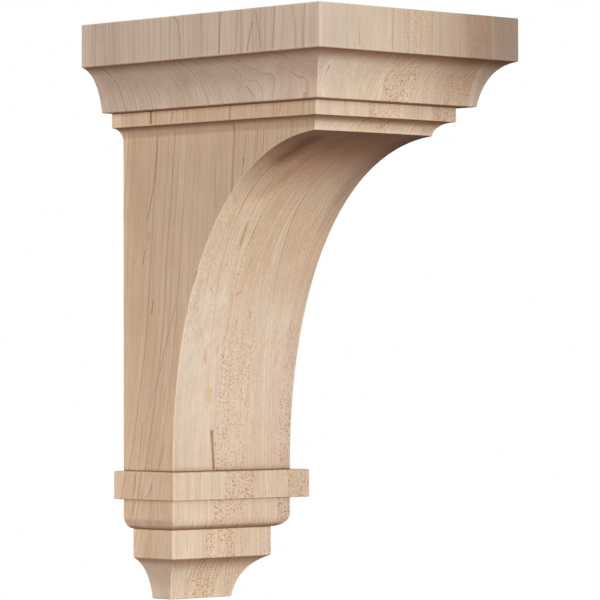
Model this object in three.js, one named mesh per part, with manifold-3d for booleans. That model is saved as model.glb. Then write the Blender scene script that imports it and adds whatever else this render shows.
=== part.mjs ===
// A wooden corbel carved from one block: a moulded cap on a body that is hollowed out
// below in one long arch, with a collar and a moulded foot under it.
// Millimetres, +Z up. The wall face lies in the plane y = 0 and the front looks along -Y.
// The origin is the middle of the wall face.

import * as THREE from 'three';
import { mergeVertices } from 'three/addons/utils/BufferGeometryUtils.js';
import Module from 'manifold-3d';

// The block
const HEIGHT = 381;
const WIDTH = 177.8;
const DEPTH = 228.6;

// The mouldings stand out from the body by their overhang at the sides, and by this much
// more of it in front
const FRONT_SHARE = 1.184;

// The cap, from the top down: a plain band, a cove with a lip, a fillet and a small cove
const BAND_HEIGHT = 28.1;
const BAND_OVERHANG = 36.25;
const COVE_HEIGHT = 29.5;
const COVE_START_FALL = 3.3;
const COVE_END_LEAN = 3.9;
const LIP_OVERHANG = 18.6;
const FILLET_HEIGHT = 9.6;
const FILLET_OVERHANG = 10;
const SMALL_COVE_HEIGHT = 8.9;

// The arch runs from the small cove back to the leg. Its fullness is the share of its
// reach and of its drop that each end runs straight on for.
const LEG_DEPTH = 49.6;
const ARCH_FULLNESS = 0.598;
const ARCH_START_FALL = 6.2;

// The collar and the foot, from the top down: collar, neck, quarter round, block and cove.
// The cove ends a little further back in front than its share.
const COLLAR_HEIGHT = 18.6;
const COLLAR_OVERHANG = 8.4;
const NECK_HEIGHT = 11;
const ROUND_HEIGHT = 9;
const BLOCK_HEIGHT = 19.3;
const BLOCK_SETBACK = 8.5;
const FOOT_HEIGHT = 28.2;
const FOOT_SETBACK = 25.3;
const FOOT_START_FALL = 7.1;
const FOOT_END_LEAN = 2.6;
const FOOT_FRONT_EXTRA = 1.3;

// Finish of the edges, and how finely the curves are cut
const EASE = 0.8;
const SHARP_TURN = THREE.MathUtils.degToRad(40);
const EASE_STEPS = 3;
const COVE_STEPS = 12;
const ARCH_STEPS = 56;
const RUN_PAST = 10;

// Sizes and levels that follow
const BODY_HALF_WIDTH = WIDTH / 2 - BAND_OVERHANG;
const ARM_DEPTH = DEPTH - FRONT_SHARE * BAND_OVERHANG;
const TOP = HEIGHT / 2;
const BAND_FOOT = TOP - BAND_HEIGHT;
const COVE_FOOT = BAND_FOOT - COVE_HEIGHT;
const FILLET_FOOT = COVE_FOOT - FILLET_HEIGHT;
const ARCH_TOP = FILLET_FOOT - SMALL_COVE_HEIGHT;
const BOTTOM = -HEIGHT / 2;
const FOOT_TOP = BOTTOM + FOOT_HEIGHT;
const BLOCK_TOP = FOOT_TOP + BLOCK_HEIGHT;
const ROUND_TOP = BLOCK_TOP + ROUND_HEIGHT;
const COLLAR_FOOT = ROUND_TOP + NECK_HEIGHT;
const COLLAR_TOP = COLLAR_FOOT + COLLAR_HEIGHT;

/** Rounds the sharp outer corners of an outline that runs downwards, leaving its inner ones. */
function easeEdges(outline) {
  const eased = [];
  outline.forEach((corner, i) => {
    const before = outline[i - 1];
    const after = outline[i + 1];
    if (!before || !after) {
      eased.push(corner);
      return;
    }
    const coming = corner.clone().sub(before);
    const going = after.clone().sub(corner);
    const turn = Math.atan2(going.cross(coming), coming.dot(going));
    if (turn < SHARP_TURN) {
      eased.push(corner);
      return;
    }
    const reach = Math.min(EASE, coming.length() / 2, going.length() / 2);
    const start = corner.clone().addScaledVector(coming.normalize(), -reach);
    const end = corner.clone().addScaledVector(going.normalize(), reach);
    eased.push(...new THREE.QuadraticBezierCurve(start, corner, end).getPoints(EASE_STEPS));
  });
  return eased;
}

/** The cap's profile as points of overhang and height, from the top edge to the arch. */
function capProfile() {
  const path = new THREE.Path();
  path.moveTo(LIP_OVERHANG, TOP);
  path.lineTo(BAND_OVERHANG, TOP);
  path.lineTo(BAND_OVERHANG, BAND_FOOT);
  path.quadraticCurveTo(
    LIP_OVERHANG + COVE_END_LEAN, BAND_FOOT - COVE_START_FALL, LIP_OVERHANG, COVE_FOOT
  );
  path.lineTo(FILLET_OVERHANG, COVE_FOOT);
  path.lineTo(FILLET_OVERHANG, FILLET_FOOT);
  path.absellipse(
    FILLET_OVERHANG, ARCH_TOP, FILLET_OVERHANG, SMALL_COVE_HEIGHT, Math.PI / 2, Math.PI, false
  );
  return easeEdges(path.getPoints(COVE_STEPS));
}

/** The profile of the collar and foot as points of overhang and height, down to the tip. */
function footProfile() {
  const path = new THREE.Path();
  path.moveTo(0, COLLAR_TOP);
  path.lineTo(COLLAR_OVERHANG, COLLAR_TOP);
  path.lineTo(COLLAR_OVERHANG, COLLAR_FOOT);
  path.lineTo(0, COLLAR_FOOT);
  path.lineTo(0, ROUND_TOP);
  path.absellipse(-BLOCK_SETBACK, ROUND_TOP, BLOCK_SETBACK, ROUND_HEIGHT, 0, -Math.PI / 2, true);
  path.lineTo(-BLOCK_SETBACK, FOOT_TOP);
  path.quadraticCurveTo(
    FOOT_END_LEAN - FOOT_SETBACK, FOOT_TOP - FOOT_START_FALL, -FOOT_SETBACK, BOTTOM
  );
  path.lineTo(-FOOT_SETBACK - 2 * EASE, BOTTOM);
  return easeEdges(path.getPoints(COVE_STEPS));
}

/** The arch as points of depth and height, from under the cap down to the collar. */
function archProfile() {
  const fullDrop = ARCH_FULLNESS * (ARCH_TOP - COLLAR_TOP);
  const fullReach = ARCH_FULLNESS * (ARM_DEPTH - LEG_DEPTH);
  const arch = new THREE.CubicBezierCurve(
    new THREE.Vector2(ARM_DEPTH, ARCH_TOP),
    new THREE.Vector2(ARM_DEPTH - fullReach, ARCH_TOP - ARCH_START_FALL),
    new THREE.Vector2(LEG_DEPTH, COLLAR_TOP + fullDrop),
    new THREE.Vector2(LEG_DEPTH, COLLAR_TOP)
  );
  return arch.getSpacedPoints(ARCH_STEPS);
}

/** Moves a profile of overhangs out to a body face that stands at base. */
function standOff(profile, base, share) {
  return profile.map((point) => new THREE.Vector2(base + share * point.x, point.y));
}

/** Sets a foot's side view further back from the block down, by the extra at its tip. */
function setBack(profile, blockFace, extra) {
  const tipRun = Math.max(...profile.map((point) => blockFace - point.x));
  return profile.map((point) => {
    const share = Math.max(0, blockFace - point.x) / tipRun;
    return new THREE.Vector2(point.x - share * extra, point.y);
  });
}

/** Joins runs of points, dropping each run's first point where it repeats the last one. */
function joinRuns(...runs) {
  return runs.flat().filter((point, i, all) => i === 0 || !point.equals(all[i - 1]));
}

/** A prism of an outline of (u, height), its u lying along one axis and its length along another. */
function prism(outline, length, uAxis, lengthAxis, start) {
  const geometry = new THREE.ExtrudeGeometry(new THREE.Shape(outline), {
    depth: length,
    bevelEnabled: false,
  });
  const up = new THREE.Vector3(0, 0, 1);
  geometry.applyMatrix4(new THREE.Matrix4().makeBasis(uAxis, up, lengthAxis));
  geometry.translate(...start.toArray());
  return geometry;
}

/** A closed geometry as a solid. */
function toSolid(wasm, geometry) {
  const bare = geometry.clone();
  bare.deleteAttribute('normal');
  bare.deleteAttribute('uv');
  const merged = mergeVertices(bare);
  const vertProperties = new Float32Array(merged.attributes.position.array);
  const triVerts = new Uint32Array(merged.index.array);
  return new wasm.Manifold(new wasm.Mesh({ numProp: 3, vertProperties, triVerts }));
}

/** A solid as a geometry. */
function toGeometry(solid) {
  const { vertProperties, triVerts } = solid.getMesh();
  const geometry = new THREE.BufferGeometry();
  geometry.setAttribute('position', new THREE.BufferAttribute(vertProperties, 3));
  geometry.setIndex(new THREE.BufferAttribute(triVerts, 1));
  geometry.computeVertexNormals();
  return geometry;
}

/** The whole corbel: what the outlines seen from the side and from the front have in common. */
function corbelGeometry(wasm) {
  const cap = capProfile();
  const foot = footProfile();

  const blockFront = LEG_DEPTH - FRONT_SHARE * BLOCK_SETBACK;
  const sideView = easeEdges(joinRuns(
    standOff(cap, ARM_DEPTH, FRONT_SHARE),
    archProfile(),
    setBack(standOff(foot, LEG_DEPTH, FRONT_SHARE), blockFront, FOOT_FRONT_EXTRA)
  ));
  const wallTop = new THREE.Vector2(0, TOP);
  const wallBottom = new THREE.Vector2(0, BOTTOM);
  const acrossWidth = prism(
    [wallTop, ...sideView, wallBottom],
    WIDTH + 2 * RUN_PAST,
    new THREE.Vector3(0, -1, 0),
    new THREE.Vector3(-1, 0, 0),
    new THREE.Vector3(WIDTH / 2 + RUN_PAST, 0, 0)
  );

  const rightHalf = standOff([...cap, ...foot], BODY_HALF_WIDTH, 1);
  const leftHalf = rightHalf.map((point) => new THREE.Vector2(-point.x, point.y)).reverse();
  const alongDepth = prism(
    [...rightHalf, ...leftHalf],
    DEPTH + 2 * RUN_PAST,
    new THREE.Vector3(1, 0, 0),
    new THREE.Vector3(0, -1, 0),
    new THREE.Vector3(0, RUN_PAST, 0)
  );

  return toGeometry(toSolid(wasm, acrossWidth).intersect(toSolid(wasm, alongDepth)));
}

const wasm = await Module();
wasm.setup();

const maple = new THREE.MeshStandardMaterial({
  name: 'maple',
  color: 0xd8b699,
  roughness: 0.62,
  metalness: 0,
  flatShading: true,
});

const corbel = new THREE.Mesh(corbelGeometry(wasm), maple);
corbel.name = 'corbel';

const part = new THREE.Group();
part.add(corbel);

export default part;
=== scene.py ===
"""A carved maple corbel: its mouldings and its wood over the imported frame, a studio and a camera."""

import logging
import math
from dataclasses import dataclass, field, replace
from enum import Enum

import bpy
from mathutils import Matrix, Vector


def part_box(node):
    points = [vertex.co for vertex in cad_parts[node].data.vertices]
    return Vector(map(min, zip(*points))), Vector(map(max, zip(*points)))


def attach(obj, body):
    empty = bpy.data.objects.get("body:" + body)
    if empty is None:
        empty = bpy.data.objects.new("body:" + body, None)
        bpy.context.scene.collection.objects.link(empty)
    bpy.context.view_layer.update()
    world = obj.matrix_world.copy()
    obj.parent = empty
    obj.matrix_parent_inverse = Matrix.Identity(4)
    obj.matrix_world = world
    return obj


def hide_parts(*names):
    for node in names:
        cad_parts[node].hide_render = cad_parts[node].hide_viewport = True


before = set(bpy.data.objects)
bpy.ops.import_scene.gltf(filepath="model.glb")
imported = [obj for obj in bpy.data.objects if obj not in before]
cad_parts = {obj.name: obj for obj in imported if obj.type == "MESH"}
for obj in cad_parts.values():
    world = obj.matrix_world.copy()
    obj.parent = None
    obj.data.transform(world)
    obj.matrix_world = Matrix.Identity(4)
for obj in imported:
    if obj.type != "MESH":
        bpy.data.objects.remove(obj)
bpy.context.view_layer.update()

LOG = logging.getLogger("corbel")

# Lengths are in millimetres here, and become metres where a mesh or a light is made
MM = 0.001
NODE = "corbel"
BODY = "root"

RIGHT_ANGLE = math.pi / 2
TOUCHING = 1e-6

Colour = tuple[float, float, float]
Limits = tuple[tuple[str, float, float], ...]


# Node trees, written as formulas


@dataclass(frozen=True)
class Wire:
    """A value in a node tree. Its operators add the nodes that a formula needs."""

    tree: bpy.types.NodeTree
    socket: bpy.types.NodeSocket

    def out(self, name: str) -> "Wire":
        """Return another output of the same node, by its name."""
        return Wire(self.tree, self.socket.node.outputs[name])

    def maths(self, operation: str, *others: "Wire | float") -> "Wire":
        """Combine this value with others.

        Args:
            operation: The Math node's operation.
            others: Its second and third value, where it has them.

        Returns:
            The result.
        """
        node = self.tree.nodes.new("ShaderNodeMath")
        node.operation = operation
        for socket, value in zip(node.inputs, (self, *others)):
            feed(self.tree, socket, value)
        return Wire(self.tree, node.outputs[0])

    def vector_maths(self, operation: str, other: "Wire | tuple | None" = None, output: int = 0) -> "Wire":
        """Combine this vector with another one.

        Args:
            operation: The Vector Math node's operation.
            other: The second vector, or for SCALE the factor.
            output: Which output holds the result: 0 for a vector, 1 for a number.

        Returns:
            The result.
        """
        node = self.tree.nodes.new("ShaderNodeVectorMath")
        node.operation = operation
        feed(self.tree, node.inputs[0], self)
        if other is not None:
            feed(self.tree, node.inputs["Scale" if operation == "SCALE" else 1], other)
        return Wire(self.tree, node.outputs[output])

    def __add__(self, other: "Wire | float") -> "Wire":
        """Add."""
        return self.maths("ADD", other)

    def __sub__(self, other: "Wire | float") -> "Wire":
        """Subtract."""
        return self.maths("SUBTRACT", other)

    def __rsub__(self, other: float) -> "Wire":
        """Subtract this value from a number."""
        return (self * -1.0).maths("ADD", other)

    def __mul__(self, other: "Wire | float") -> "Wire":
        """Multiply."""
        return self.maths("MULTIPLY", other)

    def __truediv__(self, other: "Wire | float") -> "Wire":
        """Divide."""
        return self.maths("DIVIDE", other)

    __radd__ = __add__
    __rmul__ = __mul__

    def floor(self) -> "Wire":
        """Round down."""
        return self.maths("FLOOR")

    def size(self) -> "Wire":
        """Drop the sign."""
        return self.maths("ABSOLUTE")

    def clamp(self, low: "Wire | float", high: "Wire | float") -> "Wire":
        """Hold the value between two others."""
        return self.maths("MAXIMUM", low).maths("MINIMUM", high)

    def smooth(self, low: float, high: float) -> "Wire":
        """Rise smoothly from 0 to 1.

        Args:
            low: The value where it is 0.
            high: The value where it is 1, which may be the smaller of the two.

        Returns:
            The share, from 0 to 1.
        """
        node = self.tree.nodes.new("ShaderNodeMapRange")
        node.interpolation_type = "SMOOTHSTEP"
        feed(self.tree, node.inputs["Value"], self)
        node.inputs["From Min"].default_value = min(low, high)
        node.inputs["From Max"].default_value = max(low, high)
        node.inputs["To Min"].default_value = 0.0 if low < high else 1.0
        node.inputs["To Max"].default_value = 1.0 if low < high else 0.0
        return Wire(self.tree, node.outputs["Result"])


def feed(tree: bpy.types.NodeTree, socket: bpy.types.NodeSocket, value: object) -> None:
    """Give a socket its value.

    Args:
        tree: The socket's tree.
        socket: The socket.
        value: A wire, which is linked, or a plain number, vector or name.
    """
    if isinstance(value, Wire):
        tree.links.new(value.socket, socket)
        return
    socket.default_value = value


@dataclass(frozen=True)
class Bench:
    """A node tree being built."""

    tree: bpy.types.NodeTree

    @classmethod
    def start(cls, name: str, kind: str, inputs: dict[str, tuple],
              outputs: dict[str, str]) -> "tuple[Bench, dict[str, Wire]]":
        """Start a node group.

        Args:
            name: The group's name.
            kind: ShaderNodeTree or GeometryNodeTree.
            inputs: Each input's type by its name, followed by its value unless it is set.
            outputs: Each output's type by its name.

        Returns:
            The group as a bench, and its inputs as wires by name.
        """
        tree = bpy.data.node_groups.new(name, kind)
        for label, (value_type, *value) in inputs.items():
            socket_type = f"NodeSocket{value_type}"
            socket = tree.interface.new_socket(name=label, in_out="INPUT", socket_type=socket_type)
            if value:
                socket.default_value = value[0]
        for label, value_type in outputs.items():
            tree.interface.new_socket(name=label, in_out="OUTPUT", socket_type=f"NodeSocket{value_type}")
        given = tree.nodes.new("NodeGroupInput").outputs
        return cls(tree), {label: Wire(tree, given[label]) for label in inputs}

    def add(self, kind: str, inputs: dict | None = None, **settings: object) -> Wire:
        """Add a node.

        Args:
            kind: The node's type.
            inputs: Its inputs' values, by name or by number.
            settings: Its own properties.

        Returns:
            The node's first output.
        """
        node = self.tree.nodes.new(kind)
        for name, value in settings.items():
            setattr(node, name, value)
        for key, value in (inputs or {}).items():
            feed(self.tree, node.inputs[key], value)
        return Wire(self.tree, [output for output in node.outputs if output.enabled][0])

    def end(self, kind: str, results: dict[str, Wire]) -> None:
        """Add the node that the tree ends in.

        Args:
            kind: The node's type.
            results: Its inputs' values, by name.
        """
        node = self.tree.nodes.new(kind)
        for name, value in results.items():
            feed(self.tree, node.inputs[name], value)

    def finish(self, results: dict[str, Wire]) -> bpy.types.NodeTree:
        """Connect the group's outputs, and return its tree."""
        self.end("NodeGroupOutput", results)
        return self.tree

    def group(self, tree: bpy.types.NodeTree, inputs: dict[str, object]) -> Wire:
        """Place a node group, and return its first output."""
        return self.add("ShaderNodeGroup", inputs, node_tree=tree)

    def split(self, vector: Wire) -> Wire:
        """Part a vector into its X, Y and Z."""
        return self.add("ShaderNodeSeparateXYZ", {"Vector": vector})

    def join(self, x: Wire, y: Wire, z: Wire) -> Wire:
        """Make a vector of its X, Y and Z."""
        return self.add("ShaderNodeCombineXYZ", {"X": x, "Y": y, "Z": z})

    def noise(self, place: Wire, grain: Colour, seed: "Wire | float",
              detail: float = 0.0, roughness: float = 0.5) -> Wire:
        """Add a noise.

        Args:
            place: Where it is read.
            grain: How fine it is along each axis.
            seed: Which noise it is.
            detail: How many finer noises it has.
            roughness: How strong those are.

        Returns:
            The noise, from about -0.5 to 0.5.
        """
        scaled = place.vector_maths("MULTIPLY", grain)
        inputs = {"Vector": scaled, "W": seed, "Scale": 1.0, "Detail": detail, "Roughness": roughness}
        return self.add("ShaderNodeTexNoise", inputs, noise_dimensions="4D") - 0.5

    def blend(self, kind: str, share: "Wire | float", first: object, second: object) -> Wire:
        """Mix two values.

        Args:
            kind: FLOAT, VECTOR or RGBA.
            share: How much of the second is taken.
            first: The value at share 0.
            second: The value at share 1.

        Returns:
            The mixed value.
        """
        node = self.tree.nodes.new("ShaderNodeMix")
        node.data_type = kind
        sockets = [socket for socket in node.inputs if socket.enabled]
        for socket, value in zip(sockets, (share, first, second)):
            feed(self.tree, socket, value)
        return Wire(self.tree, [socket for socket in node.outputs if socket.enabled][0])

    def tint(self, colour: Wire, tint: Colour, share: Wire) -> Wire:
        """Multiply a colour by a share of a tint."""
        factor = self.blend("VECTOR", share, (1.0, 1.0, 1.0), tint)
        return colour.vector_maths("MULTIPLY", factor)


# The carving


@dataclass(frozen=True)
class Station:
    """A point of the corbel's outline: half the width, the depth and the height of the block there.

    Its marks are 1 at an inner corner, at an outer one in front, and at an outer one at the sides. The
    finish paints shade and burn marks into the inner corners, and a highlight along the outer ones.
    """

    half_width: float
    depth: float
    height: float
    nook: float = 0.0
    arris: float = 0.0
    side_arris: float = 0.0

    def towards(self, other: "Station", share: float) -> "Station":
        """Find a station on the straight way to another one.

        Args:
            other: The other station.
            share: How much of the way lies before it.

        Returns:
            The station, without marks.
        """
        return Station(
            self.half_width + share * (other.half_width - self.half_width),
            self.depth + share * (other.depth - self.depth),
            self.height + share * (other.height - self.height),
        )

    def side_step(self, other: "Station") -> Vector:
        """Return the way to another station as the front view shows it."""
        return Vector((other.half_width - self.half_width, other.height - self.height))

    def step(self, other: "Station") -> Vector:
        """Return the way to another station as the side view shows it."""
        return Vector((other.depth - self.depth, other.height - self.height))


@dataclass(frozen=True)
class Mouldings:
    """The sizes of the cap, the arch and the foot, from the top down.

    The mouldings stand out from the body by an overhang at the sides, and by front_share times as much
    in front. The foot's tip lies further back in front by foot_front_extra.
    """

    front_share: float = 1.184
    band_height: float = 28.1
    band_overhang: float = 36.25
    cove_height: float = 29.5
    cove_start_fall: float = 3.3
    cove_end_lean: float = 3.9
    lip_overhang: float = 18.6
    fillet_height: float = 9.6
    fillet_overhang: float = 10.0
    small_cove_height: float = 8.9
    leg_depth: float = 49.6
    arch_fullness: float = 0.598
    arch_start_fall: float = 6.2
    collar_height: float = 18.6
    collar_overhang: float = 8.4
    neck_height: float = 11.0
    round_height: float = 9.0
    block_height: float = 19.3
    block_setback: float = 8.5
    foot_height: float = 28.2
    foot_setback: float = 25.3
    foot_start_fall: float = 7.1
    foot_end_lean: float = 2.6
    foot_front_extra: float = 1.3


@dataclass
class Outline:
    """The corbel's outline as stations from the top's middle down to the bottom's, round the front."""

    mouldings: Mouldings
    width: float
    depth: float
    top: float
    bottom: float
    ease: float = 0.9
    ease_steps: int = 4
    sharp_turn: float = math.radians(40)
    cove_steps: int = 14
    arch_steps: int = 72
    arch_samples: int = 2000
    longest_step: float = 7.0
    nook_reach: float = 0.8
    guard: float = 0.6
    stations: list[Station] = field(default_factory=list)

    @property
    def body_half_width(self) -> float:
        """Half the width of the body under the cap."""
        return self.width / 2 - self.mouldings.band_overhang

    @property
    def arm_depth(self) -> float:
        """The depth of the body where the arch begins."""
        return self.depth - self.mouldings.front_share * self.mouldings.band_overhang

    def place(self, base: float, overhang: float, height: float) -> Station:
        """Return the station of an overhang from a body face that stands at a depth."""
        out = self.mouldings.front_share * overhang
        return Station(self.body_half_width + overhang, base + out, height)

    def curve(self, start: Station, control: Station, end: Station) -> list[Station]:
        """Return the stations of a cove that leaves and arrives towards its control."""
        shares = [i / self.cove_steps for i in range(1, self.cove_steps + 1)]
        return [start.towards(control, t).towards(control.towards(end, t), t) for t in shares]

    def quarter(self, centre: Station, reach: float, rise: float, start: float,
                turn: float) -> list[Station]:
        """Return the stations of a quarter of an ellipse.

        Args:
            centre: The ellipse's centre.
            reach: Its half length along the overhang.
            rise: Its half height.
            start: The angle it starts at.
            turn: The angle it goes through.

        Returns:
            Its stations after the first one.
        """
        angles = [start + turn * i / self.cove_steps for i in range(1, self.cove_steps + 1)]
        share = self.mouldings.front_share
        return [
            Station(
                centre.half_width + reach * math.cos(angle),
                centre.depth + share * reach * math.cos(angle),
                centre.height + rise * math.sin(angle),
            )
            for angle in angles
        ]

    def cap(self) -> list[Station]:
        """Trace the cap.

        Returns:
            Its corners and curves, from the top's middle down to the arch.
        """
        m = self.mouldings
        arm = self.arm_depth
        band_foot = self.top - m.band_height
        cove_foot = band_foot - m.cove_height
        fillet_foot = cove_foot - m.fillet_height
        middle = Station(0.0, 0.0, self.top)
        rim = self.place(arm, m.band_overhang, self.top)
        band = self.place(arm, m.band_overhang, band_foot)
        lean = self.place(arm, m.lip_overhang + m.cove_end_lean, band_foot - m.cove_start_fall)
        lip = self.place(arm, m.lip_overhang, cove_foot)
        fillet = self.place(arm, m.fillet_overhang, cove_foot)
        fillet_end = self.place(arm, m.fillet_overhang, fillet_foot)
        centre = self.place(arm, m.fillet_overhang, fillet_foot - m.small_cove_height)
        small_cove = self.quarter(centre, m.fillet_overhang, m.small_cove_height, RIGHT_ANGLE, RIGHT_ANGLE)
        return [middle, rim, band, *self.curve(band, lean, lip), fillet, fillet_end, *small_cove]

    def arch(self, start: Station, end: Station) -> list[Station]:
        """Return the stations of the long arch, evenly spaced along it.

        Args:
            start: The station under the cap.
            end: The station above the collar.

        Returns:
            The stations between the two.
        """
        m = self.mouldings
        reach = m.arch_fullness * (start.depth - end.depth)
        drop = m.arch_fullness * (start.height - end.height)
        ends = (
            Vector((start.depth, start.height)),
            Vector((start.depth - reach, start.height - m.arch_start_fall)),
            Vector((end.depth, end.height + drop)),
            Vector((end.depth, end.height)),
        )
        fine = [bezier(ends, i / self.arch_samples) for i in range(self.arch_samples + 1)]
        lengths = [0.0]
        for before, after in zip(fine, fine[1:]):
            lengths.append(lengths[-1] + (after - before).length)
        stations = []
        for k in range(1, self.arch_steps):
            goal = lengths[-1] * k / self.arch_steps
            nearest = min(range(len(fine)), key=lambda i: abs(lengths[i] - goal))
            stations.append(Station(start.half_width, fine[nearest].x, fine[nearest].y))
        return stations

    def foot(self) -> list[Station]:
        """Trace the collar and the foot.

        Returns:
            Their corners and curves, down to the bottom's middle.
        """
        m = self.mouldings
        leg = m.leg_depth
        foot_top = self.bottom + m.foot_height
        round_top = foot_top + m.block_height + m.round_height
        collar_foot = round_top + m.neck_height
        collar_top = collar_foot + m.collar_height
        corners = [
            self.place(leg, 0.0, collar_top),
            self.place(leg, m.collar_overhang, collar_top),
            self.place(leg, m.collar_overhang, collar_foot),
            self.place(leg, 0.0, collar_foot),
            self.place(leg, 0.0, round_top),
        ]
        centre = self.place(leg, -m.block_setback, round_top)
        rounding = self.quarter(centre, m.block_setback, m.round_height, 0.0, -RIGHT_ANGLE)
        block_foot = self.place(leg, -m.block_setback, foot_top)
        lean = self.place(leg, m.foot_end_lean - m.foot_setback, foot_top - m.foot_start_fall)
        tip = self.place(leg, -m.foot_setback, self.bottom)
        extra = m.foot_front_extra / (block_foot.depth - tip.depth)
        back = [
            replace(station, depth=station.depth - extra * (block_foot.depth - station.depth))
            for station in (lean, tip)
        ]
        middle = Station(0.0, 0.0, self.bottom)
        return [*corners, *rounding, block_foot, *self.curve(block_foot, *back), middle]

    def trace(self) -> list[Station]:
        """Trace the whole outline.

        Returns:
            Its stations, with eased corners and short steps.
        """
        cap = self.cap()
        foot = self.foot()
        corners = [*cap, *self.arch(cap[-1], foot[0]), *foot]
        self.stations = self.fill_in(self.ease_corners(corners))
        return self.stations

    def ease_corners(self, corners: list[Station]) -> list[Station]:
        """Round the sharp outer corners, and mark them and the sharp inner ones.

        Args:
            corners: The outline's corners and curves.

        Returns:
            The eased outline.
        """
        eased = [corners[0]]
        for before, corner, after in zip(corners, corners[1:], corners[2:]):
            coming = before.step(corner)
            going = corner.step(after)
            turn = coming.angle_signed(going)
            if abs(turn) < self.sharp_turn:
                eased.append(corner)
                continue
            if turn < 0:
                eased.append(replace(corner, nook=1.0))
                continue
            at_side = before.side_step(corner).angle(corner.side_step(after), 0.0) > self.sharp_turn
            start = corner.towards(before, min(self.ease, coming.length / 2) / coming.length)
            end = corner.towards(after, min(self.ease, going.length / 2) / going.length)
            for k in range(self.ease_steps + 1):
                t = k / self.ease_steps
                bend = start.towards(corner, t).towards(corner.towards(end, t), t)
                eased.append(replace(bend, arris=1.0, side_arris=float(at_side)))
        eased.append(corners[-1])
        return eased

    def fill_in(self, corners: list[Station]) -> list[Station]:
        """Add stations close beside the marked ones, and along the long straight runs.

        Args:
            corners: The eased outline.

        Returns:
            The outline in short steps.
        """
        filled = [corners[0]]
        for before, after in zip(corners, corners[1:]):
            length = before.step(after).length
            stops = set()
            if length > 3 * self.nook_reach + self.guard:
                if before.nook or before.arris:
                    stops.add(self.nook_reach if before.nook else self.guard)
                if after.nook or after.arris:
                    stops.add(length - (self.nook_reach if after.nook else self.guard))
            cuts = math.ceil(length / self.longest_step)
            stops.update(length * k / cuts for k in range(1, cuts))
            kept = []
            for stop in sorted(stops):
                if not kept or stop - kept[-1] > self.guard / 2:
                    kept.append(stop)
            filled.extend(before.towards(after, stop / length) for stop in kept)
            filled.append(after)
        return filled


def bezier(ends: tuple[Vector, ...], share: float) -> Vector:
    """Find a point of a Bezier curve.

    Args:
        ends: The curve's ends and controls, in order.
        share: How far along it the point is, from 0 to 1.

    Returns:
        The point.
    """
    while len(ends) > 1:
        ends = tuple(a.lerp(b, share) for a, b in zip(ends, ends[1:]))
    return ends[0]


@dataclass(frozen=True)
class Lap:
    """How many steps a column of the grid is past the start of each run round the block."""

    side: Wire
    first_corner: Wire
    front: Wire
    second_corner: Wire
    far_side: Wire


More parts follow.
